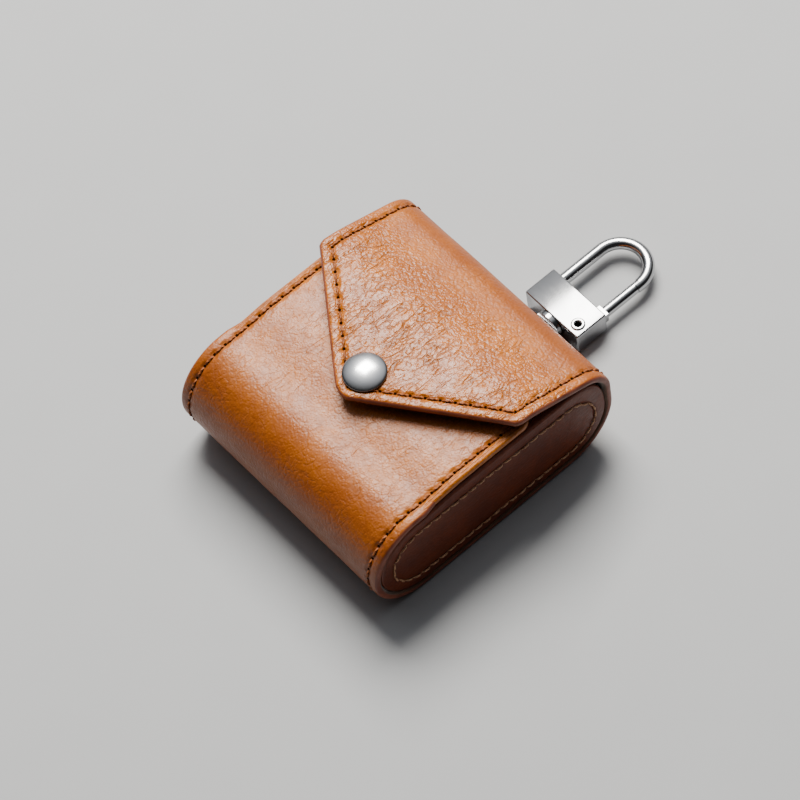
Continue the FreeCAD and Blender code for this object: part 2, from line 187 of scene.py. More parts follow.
# %% [markdown]
# ## The fold line
#
# A maker cuts leather flat and bends it round a form. The form's outline here is a line in the YZ plane:
# it starts at the front panel's free edge, goes down the front, round the bottom end, along the back,
# round the top end and over to the flap's tip. A Curve modifier bends flat pieces along it: X of the
# flat piece becomes the way along the line, Y stays across the case, and Z points out of the leather.

# %% Walking a line
arc_step = math.radians(2)


def walk(start, heading, moves):
    """Points of a path in YZ, and the length at each move's end. A move is (length, 0) or (radius, turn)."""
    at = Vector(start)
    points = [at.copy()]
    heading = math.radians(heading)
    marks = [0.0]
    for size, turn in moves:
        steps = max(1, round(abs(math.radians(turn)) / arc_step))
        turn_step = math.radians(turn) / steps
        chord = 2 * size * math.sin(abs(turn_step) / 2) if turn else size
        for _ in range(steps):
            heading += turn_step / 2
            at = at + Vector((0, math.cos(heading), math.sin(heading))) * chord
            heading += turn_step / 2
            points.append(at.copy())
        marks.append(marks[-1] + steps * chord)
    return points, marks


def form(name, points):
    """A poly curve through the points, for the Curve modifier."""
    curve = bpy.data.curves.new(name, "CURVE")
    curve.dimensions = "3D"
    curve.twist_mode = "MINIMUM"
    spline = curve.splines.new("POLY")
    spline.points.add(len(points) - 1)
    for spot, point in zip(spline.points, points):
        spot.co = (*point, 1)
    line = bpy.data.objects.new(name, curve)
    bpy.context.scene.collection.objects.link(line)
    return line


print("bends are drawn in steps of", round(math.degrees(arc_step)), "degrees")

# %% The fold line as a curve
rise = math.radians(rise_angle)
rise_length = 2 * rise_radius * math.sin(rise) + rise_run * math.cos(rise)
front_run = front_edge_y - step_y - rise_length
front_moves = [(front_run, 0), (rise_radius, rise_angle), (rise_run, 0), (rise_radius, -rise_angle)]
case_moves = [(step_y + end_y, 0), (end_radius, 180), (2 * end_y, 0), (end_radius, 90)]
flap_moves = [(crown_rise, 0), (crown_radius, crown_turn), (slope_run, 0), (crest_radius, 90 - crown_turn)]
moves = front_moves + case_moves + flap_moves
front_start = (0, front_edge_y, shell_high.z)
crest_point = walk(front_start, 180, moves)[0][-1]
nose_turn = math.degrees((nose_y - flap_tip_y) / nose_radius)
moves += [(crest_point.y - nose_y, 0), (nose_radius, nose_turn)]
fold_points, marks = walk(front_start, 180, moves)
fold_form = form("fold_form", fold_points)
step_s, back_s, hinge_s, crest_s, tip_s = (marks[index] for index in (4, 6, 8, 12, 14))
corner_s = crest_s - (flap_corner_y - crest_point.y)
print("fold line", round(tip_s / mm, 1), "mm long, hinge at", round(hinge_s / mm, 1))

# %% [markdown]
# ## Stitch path
#
# One seam runs up both long sides, and round the flap's two slanted edges to its tip. On the flat
# leather it is a line of straight runs, so the distance of any point from it is simple to work out. The
# leather is pressed down along it, and a UV map named seam holds the way along and across the seam, for
# the needle holes in the leather's material.

# %% The seam on the flat leather
lean = Vector((tip_s - corner_s, -half_width)).normalized()
slant_out = Vector((-lean.y, lean.x))
seam_half = half_width - seam_inset
tip_seam_s = tip_s - seam_inset / slant_out.x
corner_seam_s = tip_seam_s - seam_half * (tip_s - corner_s) / half_width
seam_start_s = 1.6 * mm
seam_path = [
    Vector((seam_start_s, -seam_half)), Vector((corner_seam_s, -seam_half)), Vector((tip_seam_s, 0)),
    Vector((corner_seam_s, seam_half)), Vector((seam_start_s, seam_half)),
]


def along_seam(s, y):
    """(way along, signed way across, distance) from the nearest run of the seam."""
    best = None
    done = 0.0
    here = Vector((s, y))
    for a, b in zip(seam_path, seam_path[1:]):
        run = (b - a).length
        way = (b - a) / run
        offset = here - a
        along = offset.dot(way)
        across = way.x * offset.y - way.y * offset.x
        distance = (here - (a + way * min(max(along, 0), run))).length
        if best is None or distance < best[2]:
            best = (done + along, across, distance)
        done += run
    return best


seam_length = sum((b - a).length for a, b in zip(seam_path, seam_path[1:]))
print("seam", round(seam_length / mm), "mm,", round(seam_length / stitch_pitch), "stitches")

# %% [markdown]
# ## Finishes
#
# Every finish is made of nodes that read Object coordinates, so the grain has its real size in metres
# and runs on from piece to piece. Small helpers keep the node code short.

# %% Node helpers


def new_finish(name):
    finish = bpy.data.materials.new(name)
    finish.use_nodes = True
    shader = finish.node_tree.nodes["Principled BSDF"]
    return finish, finish.node_tree, shader


def add(tree, kind, inputs=(), **settings):
    """Adds a node; inputs are (socket, value or output socket) pairs."""
    node = tree.nodes.new("ShaderNode" + kind)
    for key, value in settings.items():
        setattr(node, key, value)
    for socket, value in inputs:
        if isinstance(value, bpy.types.NodeSocket):
            tree.links.new(value, node.inputs[socket])
        else:
            node.inputs[socket].default_value = value
    return node


def maths(tree, operation, a, b=0.0, clamp=False):
    return add(tree, "Math", ((0, a), (1, b)), operation=operation, use_clamp=clamp).outputs[0]


def plus(tree, a, b, clamp=False):
    return maths(tree, "ADD", a, b, clamp)


def minus(tree, a, b):
    return maths(tree, "SUBTRACT", a, b)


def times(tree, *values):
    product = values[0]
    for value in values[1:]:
        product = maths(tree, "MULTIPLY", product, value)
    return product


def size_of(tree, value):
    return maths(tree, "ABSOLUTE", value)


def middle_gap(tree, value):
    """How far a 0..1 value is from its middle."""
    return size_of(tree, minus(tree, value, 0.5))


print("node helpers ready")

# %% Pattern helpers


def band(tree, value, low, high, to_low=0.0, to_high=1.0):
    """Maps value from low..high to to_low..to_high with soft ends."""
    names = ("Value", "From Min", "From Max", "To Min", "To Max")
    inputs = zip(names, (value, low, high, to_low, to_high))
    return add(tree, "MapRange", inputs, interpolation_type="SMOOTHSTEP").outputs[0]


def blend_colours(tree, factor, a, b):
    node = add(tree, "Mix", (("Factor", factor),), data_type="RGBA")
    for socket, colour in ((node.inputs[6], a), (node.inputs[7], b)):
        if isinstance(colour, bpy.types.NodeSocket):
            tree.links.new(colour, socket)
        else:
            socket.default_value = (*colour, 1)
    return node.outputs[2]


def noise(tree, where, scale, detail=2.0, roughness=0.5):
    inputs = (("Vector", where), ("Scale", scale), ("Detail", detail), ("Roughness", roughness))
    return add(tree, "TexNoise", inputs).outputs["Fac"]


def object_place(tree):
    return add(tree, "TexCoord").outputs["Object"]


def split(tree, vector):
    """The x, y and z of a vector."""
    return add(tree, "SeparateXYZ", ((0, vector),)).outputs


def scaled(tree, where, scale):
    return add(tree, "Mapping", (("Vector", where), ("Scale", scale))).outputs[0]


def moved(tree, operation, where, push, socket=1):
    return add(tree, "VectorMath", ((0, where), (socket, push)), operation=operation).outputs[0]


def warped(tree, where, scale, amount):
    """Coordinates pushed about by noise, so that cells don't look drawn with a ruler."""
    push = add(tree, "TexNoise", (("Vector", where), ("Scale", scale), ("Detail", 2.0))).outputs["Color"]
    centred = moved(tree, "SUBTRACT", push, (0.5, 0.5, 0.5))
    return moved(tree, "ADD", where, moved(tree, "SCALE", centred, amount, socket=3))


def bumped(tree, shader, height, depth):
    bump = add(tree, "Bump", (("Height", height), ("Strength", 1.0), ("Distance", depth)))
    tree.links.new(bump.outputs[0], shader.inputs["Normal"])


print("pattern helpers ready")

# %% [markdown]
# ### Cognac leather
#
# Waxed leather has a grain of small domed cells, drawn out the way the hide was stretched. Between them
# run creases, deeper in some patches than in others, and the flap, which is bent by hand every day, has
# more of them than the front. Long wrinkles, where a soft noise crosses its middle value, run over the
# grain. All of them are pressed down and gather dye. The two bends are darkened as a painted shade, the
# bottom end most. Cell sizes are given as cells in a metre, because the textures count that way.

# %% Grain, creases and wrinkles
grain_cells = 760
pebble_cells = 1900
worked_above = (24 * mm, 27 * mm)
flap_above = (24.6 * mm, 26.2 * mm)
front_relief = 0.6
front_dullness = 0.10
# painted shade on the two bends: its colour, then where it starts and ends along the case and how strong
bend_shade_colour = (0.15, 0.026, 0.0002)
bottom_bend_shade = (-19 * mm, -27 * mm, 0.0, 0.62)
crown_bend_shade = (22.5 * mm, 29 * mm, 0.0, 0.5)


def stretched(tree, where, share):
    """Coordinates that draw a pattern out along the case."""
    return scaled(tree, where, (1.0, share, 1.0))


def cells(tree, where, count, feature="F1"):
    inputs = (("Vector", where), ("Scale", count))
    return add(tree, "TexVoronoi", inputs, feature=feature).outputs["Distance"]


def hide_grain(tree, where, up, wrinkles):
    """(grain, pebble, crease, wrinkle) of the hide: two sizes of cell, and two kinds of line, 0 to 1."""
    loose = warped(tree, stretched(tree, where, 0.62), 420, 1.3 * mm)
    grain = cells(tree, loose, grain_cells, "DISTANCE_TO_EDGE")
    pebble = band(tree, cells(tree, warped(tree, where, 900, 0.5 * mm), pebble_cells), 0.1, 0.75, 1.0, 0.0)
    patches = band(tree, noise(tree, where, 120, 3.0), 0.36, 0.62, 0.35, 1.0)
    worked = times(tree, patches, band(tree, up, *worked_above, 0.45, 1.0), wrinkles)
    broken = band(tree, noise(tree, loose, 640, 1.0), 0.36, 0.6, 0.1, 1.0)
    crease = times(tree, band(tree, grain, 0.0, 0.11, 1.0, 0.0), worked, broken)
    folds = noise(tree, stretched(tree, loose, 0.38), 470, 1.5)
    wrinkle = times(tree, band(tree, middle_gap(tree, folds), 0.0, 0.06, 1.0, 0.0), worked, patches)
    return grain, pebble, crease, wrinkle


def dyed(tree, colour, amount, dye, share):
    """The colour with dye gathered where amount is high; share is how dark the dye is."""
    return blend_colours(tree, amount, colour, [share * part for part in dye])


print("grain cells", round(1000 / grain_cells, 2), "mm, pebbles", round(1000 / pebble_cells, 2), "mm")

# %% [markdown]
# Round each needle hole the leather is pulled down, and the hole itself is painted near black as its
# shade. The seam's UV map says where: U counts stitches along the seam, and V is the way across it in
# millimetres. The loose front panel's edge is turned in, which leaves a shallow line between the seam
# and the edge.

# %% Needle holes and the turned edge
turned_in = 1.15 * mm


def needle_holes(tree):
    """(hole, gutter, pull, across): the holes, which get a painted shade, the thread's gutter, the puckers,
    and millimetres across.
    """
    uv = split(tree, add(tree, "UVMap", uv_map="seam").outputs[0])
    turn = middle_gap(tree, maths(tree, "FRACT", uv[0]))
    near = times(tree, minus(tree, 0.5, turn), stitch_pitch / mm)
    across = size_of(tree, uv[1])
    long_near = times(tree, near, 0.8)
    spread = plus(tree, times(tree, long_near, long_near), times(tree, across, across))
    hole = band(tree, maths(tree, "SQRT", spread), 0.2, 0.38, 1.0, 0.0)
    gutter = band(tree, across, 0.1, 0.42, 0.3, 0.0)
    pull = times(tree, band(tree, across, 0.15, 1.2, 1.0, 0.0), band(tree, near, 0.1, 1.2, 1.0, 0.0))
    return hole, gutter, pull, uv[1]


def turned_edge(tree, across, along, up):
    """1 on the line where the loose front panel's edge is turned in."""
    line = band(tree, size_of(tree, plus(tree, across, turned_in / mm)), 0.0, 0.3, 1.0, 0.0)
    behind_step = band(tree, along, step_y, step_y + 2 * mm)
    before_free_edge = band(tree, along, 13 * mm, 15 * mm, 1.0, 0.0)
    above_bend = band(tree, up, 20 * mm, 22 * mm)
    under_flap = band(tree, up, 25.6 * mm, 26.2 * mm, 1.0, 0.0)
    return times(tree, line, behind_step, above_bend, under_flap, before_free_edge)


print("loose edge turned in", round(turned_in / mm, 2), "mm")

# %% Leather finish
# painted shade: the near black inside the needle holes
hole_shade_black = (0.016, 0.005, 0.002)


def leather_finish(name, light, deep, wrinkles, shine, grain_depth, seam=True):
    """A hide dyed light to deep; seam adds what only the stitched cognac pieces have."""
    finish, tree, shader = new_finish(name)
    where = object_place(tree)
    _, along, up = split(tree, where)
    grain, pebble, crease, wrinkle = hide_grain(tree, where, up, wrinkles)

    colour = blend_colours(tree, band(tree, noise(tree, where, 130, 4.0, 0.6), 0.3, 0.7), deep, light)
    colour = dyed(tree, colour, times(tree, crease, 0.5), deep, 0.4)
    colour = dyed(tree, colour, times(tree, wrinkle, 0.5), deep, 0.35)
    colour = dyed(tree, colour, times(tree, minus(tree, 1.0, pebble), 0.3), deep, 0.5)

    height = times(tree, pebble, 0.34)
    height = plus(tree, height, times(tree, band(tree, grain, 0.0, 0.35), 0.34))
    height = plus(tree, height, times(tree, noise(tree, where, 3200, 2.0), 0.16))
    height = plus(tree, height, times(tree, noise(tree, where, 300, 2.0), 0.16))
    height = minus(tree, height, times(tree, crease, 0.5))
    height = minus(tree, height, times(tree, wrinkle, 0.7))
    height = times(tree, height, band(tree, up, *flap_above, front_relief, 1.0))

    gloss = band(tree, noise(tree, where, 420, 3.0), 0.3, 0.7, 0.28, 0.37)
    gloss = plus(tree, gloss, times(tree, crease, 0.1))
    gloss = plus(tree, gloss, band(tree, up, *flap_above, front_dullness, 0.0))
    if seam:
        # painted shade: the bottom and crown bends are darkened by their place along the case
        bend_shade = plus(tree, band(tree, along, *bottom_bend_shade), band(tree, along, *crown_bend_shade))
        colour = blend_colours(tree, bend_shade, colour, bend_shade_colour)
        hole, gutter, pull, across = needle_holes(tree)
        colour = dyed(tree, colour, gutter, deep, 0.35)
        # painted shade: the needle holes are made near black
        colour = blend_colours(tree, hole, colour, hole_shade_black)
        height = minus(tree, height, times(tree, pull, 1.3))
        height = minus(tree, height, times(tree, hole, 0.8))
        height = minus(tree, height, times(tree, turned_edge(tree, across, along, up), 0.9))
        gloss = plus(tree, gloss, times(tree, plus(tree, hole, gutter), 0.5), clamp=True)
        # a hole must not shine, and a metal with a black base has no reflection
        no_shine = plus(tree, hole, times(tree, gutter, 0.3), clamp=True)
        tree.links.new(no_shine, shader.inputs["Metallic"])
    tree.links.new(colour, shader.inputs["Base Color"])
    tree.links.new(gloss, shader.inputs["Roughness"])
    shader.inputs["Specular IOR Level"].default_value = shine
    bumped(tree, shader, height, grain_depth)
    return finish


cognac = leather_finish(
    "cognac_leather", (0.46, 0.126, 0.0008), (0.33, 0.080, 0.0004),
    wrinkles=1.0, shine=0.46, grain_depth=0.14 * mm,
)
# a darker copy of the cognac leather: a painted shade for the side panels and the strap
shaded_cognac = leather_finish(
    "side_leather", (0.15, 0.023, 0.0006), (0.095, 0.013, 0.0003),
    wrinkles=0.4, shine=0.2, grain_depth=0.08 * mm, seam=False,
)
print("leather finishes made")

# %% [markdown]
# ### Painted edges, lining, thread
#
# The cut edges are sanded round and painted with a reddish brown that dries slightly glossy and uneven.
# The lining is a short-nap suede, so it has no gloss but a faint sheen. The thread is waxed polyester.

# %% Edge, lining and thread finishes
edge_browns = ((0.15, 0.037, 0.018), (0.24, 0.066, 0.033))
suede_browns = ((0.085, 0.042, 0.022), (0.14, 0.072, 0.038))
suede_shadow = (0.05, 0.024, 0.012)


def edge_finish():
    finish, tree, shader = new_finish("edge_paint")
    where = object_place(tree)
    colour = blend_colours(tree, band(tree, noise(tree, where, 240, 3.0), 0.3, 0.7), *edge_browns)
    tree.links.new(colour, shader.inputs["Base Color"])
    tree.links.new(band(tree, noise(tree, where, 900, 2.0), 0.3, 0.7, 0.34, 0.5), shader.inputs["Roughness"])
    shader.inputs["Specular IOR Level"].default_value = 0.3
    bumped(tree, shader, noise(tree, where, 700, 3.0), 0.06 * mm)
    return finish


def lining_finish():
    finish, tree, shader = new_finish("suede_lining")
    where = object_place(tree)
    nap = noise(tree, where, 2600, 4.0, 0.7)
    strokes = noise(tree, warped(tree, where, 160, 5 * mm), 120, 3.0)
    colour = blend_colours(tree, band(tree, strokes, 0.3, 0.7), *suede_browns)
    colour = blend_colours(tree, times(tree, nap, 0.4), colour, suede_shadow)
    tree.links.new(colour, shader.inputs["Base Color"])
    shader.inputs["Roughness"].default_value = 0.92
    shader.inputs["Specular IOR Level"].default_value = 0.2
    shader.inputs["Sheen Weight"].default_value = 0.35
    shader.inputs["Sheen Roughness"].default_value = 0.5
    bumped(tree, shader, nap, 0.12 * mm)
    return finish


def thread_finish(name, light, dark):
    finish, tree, shader = new_finish(name)
    fibres = noise(tree, object_place(tree), 2200, 3.0, 0.7)
    colour = blend_colours(tree, band(tree, fibres, 0.35, 0.65), dark, light)
    tree.links.new(colour, shader.inputs["Base Color"])
    shader.inputs["Roughness"].default_value = 0.55
    shader.inputs["Specular IOR Level"].default_value = 0.2
    bumped(tree, shader, fibres, 0.05 * mm)
    return finish


edge_paint = edge_finish()
suede = lining_finish()
brown_thread = thread_finish("brown_thread", light=(0.34, 0.108, 0.030), dark=(0.15, 0.042, 0.013))
tan_thread = thread_finish("tan_thread", light=(0.62, 0.36, 0.21), dark=(0.34, 0.16, 0.08))
print("edge, lining and thread finishes made")

# %% [markdown]
# ### Metals
#
# The hook is polished nickel: nearly a mirror, with a faint haze and tiny scratches that only shift its
# gloss, and its block has a darker copy of that nickel as a painted shade. Hidden snap parts are plated
# and a little duller, and the gate's spring is bright steel wire.
# The snap's cap has a painted dark reflection low on its rim. Polishing has left the face of the hook's
# block a little round, and a bump as wide as the block gives that.

# %% Metal finishes
hairline_scale = (260.0, 2600.0, 900.0)
swell_depth = 0.07 * mm
hairline_depth = 0.004 * mm
# painted dark reflection low on the snap cap's rim: its grey and how far up it fades
dark_reflection_grey = (0.05, 0.05, 0.055)
dark_reflection_reach = 0.75 * mm
face_lean = 0.36
face_fall = 0.48


def metal_finish(name, colour, roughness, scratch, dark_reflection_top=None, rounded=None):
    """Hazy, scratched metal; the rim height paints a dark reflection on what is lower, and rounded is the X
    span of a round face.
    """
    finish, tree, shader = new_finish(name)
    where = object_place(tree)
    x, _, z = split(tree, where)
    haze = noise(tree, where, 220, 3.0)
    hairline = noise(tree, scaled(tree, where, hairline_scale), 1.0)
    worn = plus(tree, band(tree, haze, 0.3, 0.7, *roughness), times(tree, hairline, scratch))
    tree.links.new(worn, shader.inputs["Roughness"])
    tint = blend_colours(tree, band(tree, haze, 0.35, 0.65), colour, [0.9 * part for part in colour])
    # painted dark reflection: the metal below the given rim height turns dark grey
    if dark_reflection_top:
        tint = blend_colours(tree, band(tree, z, dark_reflection_top - dark_reflection_reach, dark_reflection_top, 1.0, 0.0), tint, dark_reflection_grey)
    tree.links.new(tint, shader.inputs["Base Color"])
    shader.inputs["Metallic"].default_value = 1.0
    height = times(tree, noise(tree, where, 70, 1.0), swell_depth)
    height = plus(tree, height, times(tree, hairline, hairline_depth))
    if rounded:
        low_x, high_x = rounded
        across = minus(tree, x, low_x)
        fall = times(tree, across, across, face_fall / (2 * (high_x - low_x)))
        height = plus(tree, height, minus(tree, times(tree, across, face_lean), fall))
    bumped(tree, shader, height, 1.0)
    return finish


block_low, block_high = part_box("clip_block")
block_span = (block_low.x, block_high.x)
nickel = metal_finish("polished_nickel", (0.465, 0.468, 0.48), (0.10, 0.17), 0.04)
# the block's nickel is a darker copy of the hook's nickel: a painted shade
block_nickel_painted_shade = metal_finish("block_nickel_painted_shade", (0.38, 0.384, 0.397), (0.14, 0.20), 0.04, rounded=block_span)
# the cap gets a painted dark reflection low on its rim
cap_nickel = metal_finish("cap_nickel", (0.74, 0.75, 0.78), (0.19, 0.25), 0.03, dark_reflection_top=30.0 * mm)
plated = metal_finish("plated_metal", (0.62, 0.60, 0.57), (0.22, 0.34), 0.08)
wire_steel = metal_finish("spring_steel", (0.58, 0.58, 0.60), (0.20, 0.30), 0.05)
print("metal finishes made")

# %% [markdown]
# ## Cutting and bending the leather
#
# Both leather pieces are made the same way: a flat plate as thick as the glued leather and lining is
# trimmed to its outline by cutting planes, its rim is bevelled into the round of a painted edge, and
# then it is scored with a grid of cuts so that it can bend. The rim is painted before bending, because
# on the flat piece the normals tell leather, rim and lining apart.

# %% Cutting a flat piece
edge_round = 0.78 * mm


def flat_plate(name, start_s, stop_s):
    """A flat face over the given stretch of the fold line, as wide as the case."""
    take()
    bpy.ops.mesh.primitive_plane_add(size=1, location=((start_s + stop_s) / 2, 0, 0))
    piece = bpy.context.object
    piece.scale = (stop_s - start_s, 2 * half_width, 1)
    return settle(piece, name)


def round_corner(corner, first, second, radius, steps):
    """Rounds the corner between two cut lines with outward normals first and second."""
    centre = Vector(corner) - (first + second) * (radius / (1 + first.dot(second)))
    turn = first.angle_signed(second)
    for step in range(1, steps):
        share = step / steps
        normal = Matrix.Rotation(-turn * share, 2) @ first
        score((*(centre + normal * radius), 0), (*normal, 0), clear=True)


def round_rim(piece, keep):
    """Bevels the plate's outline on both faces, but not where keep is true for an edge's middle."""
    edit(piece)
    pick(piece, "EDGE", lambda e: is_rim(e) and not keep((e.verts[0].co + e.verts[1].co) / 2))
    bpy.ops.mesh.bevel(offset=edge_round, segments=6, profile=0.5, clamp_overlap=True)


print("rim rounded", round(edge_round / mm, 2), "mm")

# %% Scoring it for the bend
bend_cut = 0.7 * mm
flat_cut = 1.3 * mm
column_cut = 1.5 * mm
seam_cuts = [offset * mm for offset in (-0.95, -0.6, -0.32, 0, 0.32, 0.6, 0.95)]


def score_grid(piece, start_s, stop_s):
    """Cuts across the strip, closer in the bends, and along it, closer beside the seams."""
    edit(piece)
    for a, b, move in zip(marks, marks[1:], moves):
        steps = math.ceil((b - a) / (bend_cut if move[1] else flat_cut))
        for step in range(steps):
            s = a + (b - a) * step / steps
            if start_s < s < stop_s:
                score((s, 0, 0), (1, 0, 0))
    columns = math.ceil(2 * half_width / column_cut)
    for column in range(1, columns):
        score((0, -half_width + 2 * half_width * column / columns, 0), (0, 1, 0))
    for hand in (-1, 1):
        for offset in seam_cuts:
            score((0, hand * (seam_half + offset), 0), (0, 1, 0))


print("bends are scored every", round(bend_cut / mm, 2), "mm")

# %% Painting it and marking the seam
slit = 3.2 * mm
groove_reach = 0.95 * mm
groove_depth = 0.26 * mm
wave_fade = 4 * mm
mapped_reach = 2 * mm
unmapped = (0, 9 * mm, 0)


def paint_faces(piece):
    """Leather outside, painted rim, suede inside; the loose front's rim is turned in, so it is leather."""
    for finish in (cognac, edge_paint, suede):
        piece.data.materials.append(finish)
    for face in piece.data.polygons:
        z = face.normal.z
        loose = face.center.x < step_s - slit
        face.material_index = 2 if z < -0.5 else 0 if z > 0.8 or loose else 1


def mark_seam(piece):
    """The groups that press the groove and hold the seam still, and the UV map for the needle holes."""
    uv = piece.data.uv_layers.new(name="seam")
    seam_group = piece.vertex_groups.new(name="seam")
    body_group = piece.vertex_groups.new(name="body")
    for point in piece.data.vertices:
        distance = along_seam(point.co.x, point.co.y)[2]
        if point.co.z > -tiny and distance < groove_reach:
            press = 0.5 + 0.5 * math.cos(math.pi * distance / groove_reach)
            seam_group.add([point.index], press, "REPLACE")
        body_group.add([point.index], min(1, distance / wave_fade), "REPLACE")
    for face in piece.data.polygons:
        mapped = along_seam(face.center.x, face.center.y)[2] < mapped_reach
        for loop in face.loop_indices:
            place = piece.data.vertices[piece.data.loops[loop].vertex_index].co
            near = along_seam(place.x, place.y) if mapped else unmapped
            uv.data[loop].uv = (near[0] / stitch_pitch, near[1] / mm)


print("seam groove", round(groove_depth / mm, 2), "mm deep")

# %% [markdown]
# ### Pressing and bending
#
# The Displace modifier presses the seam's groove in, then clouds give the leather the slight unevenness
# of a hand-filled shape. The Curve modifier bends the plate along the fold line. What would then reach
# below the floor is pressed flat on it, as the case's weight does.

# %% Pressing and bending a flat piece
uneven = bpy.data.textures.new("uneven", "CLOUDS")
uneven.noise_scale = 14 * mm
uneven.noise_depth = 1


def bend(piece, line):
    finish_with(piece, "CURVE", object=line, deform_axis="POS_X")
    for point in piece.data.vertices:
        point.co.z = max(point.co.z, 0)


def push_in_z(piece, group, strength, level, texture=None):
    settings = {"direction": "Z", "vertex_group": group, "strength": strength, "mid_level": level}
    finish_with(piece, "DISPLACE", texture=texture, **settings)


def press_and_bend(piece, wave):
    push_in_z(piece, "seam", -groove_depth, 0.0)
    push_in_z(piece, "body", wave, 0.5, uneven)
    bend(piece, fold_form)
    smooth(piece, 50)


print("clouds", round(uneven.noise_scale / mm), "mm across")

# %% [markdown]
# ## The wrap
#
# The wrap is the front panel and most of the bottom end. Above the step its front panel isn't sewn to
# the sides, so it is a little narrower there, and its free edge under the flap has rounded corners. The
# real leather runs on in one piece. Here the flap moves, so the wrap ends low on the bottom end, where
# the case rests on it, and the flap's piece goes on from there with nothing to see but a butt joint.

# %% The wrap
joint_s = back_s - 9 * mm
front_corner = 3 * mm


def make_wrap():
    piece = flat_plate("wrap_panel", 0, joint_s)
    edit(piece)
    score((step_s - slit, 0, 0), (1, 0, 0))
    score((step_s, 0, 0), (1, 0, 0))
    pick(piece, "VERT", lambda v: v.co.x < step_s - slit / 2)
    narrow = (half_width - step_in) / half_width
    bpy.ops.transform.resize(value=(1, narrow, 1), center_override=(0, 0, 0))
    for hand in (-1, 1):
        corner = (0, hand * (half_width - step_in))
        round_corner(corner, Vector((-1, 0)), Vector((0, hand)), front_corner, 6)
    finish_with(piece, "SOLIDIFY", thickness=wall, offset=-1)
    round_rim(piece, lambda middle: middle.x > joint_s - tiny)
    score_grid(piece, 0, joint_s)
    take(piece)
    paint_faces(piece)
    mark_seam(piece)
    press_and_bend(piece, wave=0.1 * mm)
    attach(piece, "shell")
    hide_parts("wrap_leather", "wrap_lining")
    return piece


wrap = make_wrap()
print("wrap panel:", len(wrap.data.polygons), "faces")

# %% [markdown]
# ## The flap
#
# The flap's piece goes along the back, round the top end, over the crest and down to its tip. Its back
# is sewn to the case and its end opens, so the real leather bends between them. Here the piece is only
# bent along the fold line, and its place is put into its points.

# %% The flap
flap_corner = 2.6 * mm
flap_point = 4 * mm


def fold_with_flap(piece):
    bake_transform(piece)


def make_flap():
    piece = flat_plate("flap_panel", joint_s, tip_s)
    edit(piece)
    outs = {}
    for hand in (-1, 1):
        outs[hand] = Vector((slant_out.x, hand * slant_out.y))
        score((tip_s, 0, 0), (*outs[hand], 0), clear=True)
    for hand in (-1, 1):
        round_corner((corner_s, hand * half_width), Vector((0, hand)), outs[hand], flap_corner, 6)
    round_corner((tip_s, 0), outs[-1], outs[1], flap_point, 8)
    finish_with(piece, "SOLIDIFY", thickness=wall, offset=-1)
    round_rim(piece, lambda middle: middle.x < joint_s + tiny)
    score_grid(piece, joint_s, tip_s)
    for hand in (-1, 1):
        for offset in seam_cuts:
            place = Vector((tip_seam_s, 0)) + outs[hand] * offset
            score((*place, 0), (*outs[hand], 0))
    take(piece)
    paint_faces(piece)
    mark_seam(piece)
    press_and_bend(piece, wave=0.22 * mm)
    fold_with_flap(piece)
    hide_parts("flap_leather", "flap_lining")
    return piece


flap = make_flap()
print("flap panel:", len(flap.data.polygons), "faces")

# %% [markdown]
# ## Stitches
#
# A stitch is a short length of two-ply thread that comes up through one needle hole and goes down
# through the next. One stitch is modelled: a cylinder cut into rings, squeezed flat, twisted so that it
# looks laid, and dipped at both ends. It is copied along the seam with small hand-made differences.

# %% One stitch, and copies of it
stitch_rings = 8
flatness = 0.72
half_twist = 1.25 * math.pi
end_taper = 0.75


def make_stitch(length, width, dip):
    take()
    quarter = (0, math.pi / 2, 0)
    bpy.ops.mesh.primitive_cylinder_add(vertices=8, radius=width / 2, depth=length, rotation=quarter)
    piece = settle(bpy.context.object, "stitch")
    edit(piece)
    for ring in range(1, stitch_rings):
        score((-length / 2 + length * ring / stitch_rings, 0, 0), (1, 0, 0))
    take(piece)
    for point in piece.data.vertices:
        share = 2 * point.co.x / length
        ply = Matrix.Rotation(half_twist * share, 2) @ Vector((point.co.y, flatness * point.co.z))
        taper = math.sqrt(1 - end_taper * share ** 2)
        point.co.y = ply.x * taper
        point.co.z = ply.y * taper - dip * share ** 4
    return piece


def stitch_row(name, stitch, spots, finish):
    """Copies a stitch to each matrix in spots and joins the copies."""
    copies = []
    for spot in spots:
        copy = bpy.data.objects.new(name, stitch.data.copy())
        copy.matrix_world = spot
        bpy.context.scene.collection.objects.link(copy)
        copies.append(copy)
    take(*copies)
    bpy.ops.object.join()
    row = settle(copies[0], name)
    row.data.materials.append(finish)
    smooth(row, 60)
    return row


random.seed(7)
seam_stitch = make_stitch(length=2.55 * mm, width=0.54 * mm, dip=0.36 * mm)
print("one stitch:", len(seam_stitch.data.polygons), "faces")

# %% The seam's stitches
seam_tilt = 5
seam_sway = 0.05
seam_lift = 0.02
cap_cover = 0.8 * mm


def seam_spots():
    """(way along the fold line, way across it, matrix) of each stitch on the flat leather, in order."""
    spots = []
    for index in range(int(seam_length / stitch_pitch)):
        middle = (index + 0.5) * stitch_pitch
        done = 0.0
        for a, b in zip(seam_path, seam_path[1:]):
            run = (b - a).length
            if done <= middle < done + run:
                place = a + (b - a) * ((middle - done) / run)
                way = math.atan2(b.y - a.y, b.x - a.x) + math.radians(random.uniform(-seam_tilt, seam_tilt))
                place = place + Vector((0, random.uniform(-seam_sway, seam_sway) * mm))
                lift = random.uniform(-seam_lift, seam_lift) * mm
                spot = Matrix.Translation((*place, lift)) @ Matrix.Rotation(way, 4, "Z")
                spots.append((place.x, place.y, spot))
            done += run
    return spots


